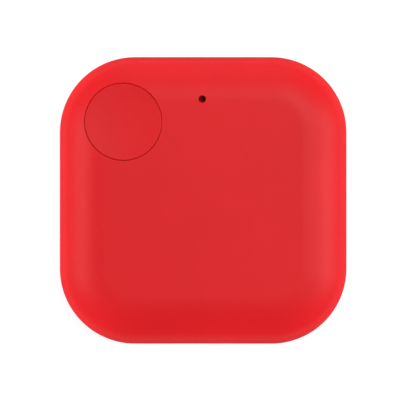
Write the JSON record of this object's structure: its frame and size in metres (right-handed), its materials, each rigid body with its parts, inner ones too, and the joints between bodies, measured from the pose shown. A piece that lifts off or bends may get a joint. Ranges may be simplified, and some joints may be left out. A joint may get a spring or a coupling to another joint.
{
  "type": "bluetooth tracker tag",
  "caption": "Slim rounded-square tracker tag: snapped two-shell case, round call button, sound hole, board with buzzer and switch, and a coin cell.",
  "frame": {"origin": "middle of the flat rear face", "axes": "+Z out of the front face, +Y towards the edge with the sound hole, +X to the right as seen from the front"},
  "size_m": [0.037, 0.037, 0.006],
  "materials": {
    "shell_red": "satin",
    "board_green": "satin",
    "copper_gold": "satin",
    "solder_tin": "satin",
    "screw_steel": "satin",
    "chip_black": "matte",
    "crystal_metal": "satin",
    "capacitor_tan": "satin",
    "resistor_black": "satin",
    "inductor_grey": "matte",
    "switch_black": "matte",
    "spring_steel": "polished",
    "plunger_white": "satin",
    "buzzer_black": "matte",
    "iron": "satin",
    "coil_copper": "satin",
    "foam_black": "matte",
    "cell_steel": "polished",
    "seal_white": "satin",
    "cathode_black": "matte",
    "separator_white": "matte",
    "anode_grey": "satin"
  },
  "bodies": {
    "rear_shell": {"rear_cover": "shell_red"},
    "front_assembly": {"front_cover": "shell_red", "circuit_board": "board_green", "board_screws": "screw_steel", "antenna_trace": "copper_gold", "bluetooth_chip": "chip_black", "chip_terminals": "solder_tin", "main_crystal": "crystal_metal", "clock_crystal": "crystal_metal", "capacitors": "capacitor_tan", "resistors": "resistor_black", "power_inductor": "inductor_grey", "switch_base": "switch_black", "switch_terminals": "solder_tin", "switch_dome": "spring_steel", "switch_frame": "spring_steel", "buzzer_base": "board_green", "buzzer_case": "buzzer_black", "buzzer_yoke": "iron", "buzzer_coil": "coil_copper", "buzzer_magnet": "iron", "buzzer_spacer": "buzzer_black", "buzzer_diaphragm": "spring_steel", "buzzer_terminals": "solder_tin", "buzzer_gasket": "foam_black", "negative_contact": "spring_steel", "positive_contact": "spring_steel"},
    "call_button": {"button_cap": "shell_red"},
    "plunger": {"switch_plunger": "plunger_white"},
    "coin_cell": {"cell_can": "cell_steel", "cell_gasket": "seal_white", "cell_cap": "cell_steel", "cell_cathode": "cathode_black", "cell_separator": "separator_white", "cell_anode": "anode_grey"}
  },
  "joints": [
    {"name": "case_opening", "type": "slide", "parent": "rear_shell", "child": "front_assembly", "axis": [0, 0, 1], "range_m": [0, 0.016]},
    {"name": "button_press", "type": "slide", "parent": "front_assembly", "child": "call_button", "axis": [0, 0, -1], "range_m": [0, 0.00025], "stiffness_N_per_m": 6400},
    {"name": "plunger_travel", "type": "slide", "parent": "front_assembly", "child": "plunger", "axis": [0, 0, -1], "range_m": [0, 0.00025], "deforming": ["switch_dome"]},
    {"name": "cell_removal", "type": "slide", "parent": "front_assembly", "child": "coin_cell", "axis": [0, 0, -1], "range_m": [0, 0.008]}
  ],
  "couplings": [
    {"joint": "plunger_travel", "follows": "button_press", "ratio": 1},
    {"joint": "cell_removal", "follows": "case_opening", "ratio": 0.5}
  ]
}
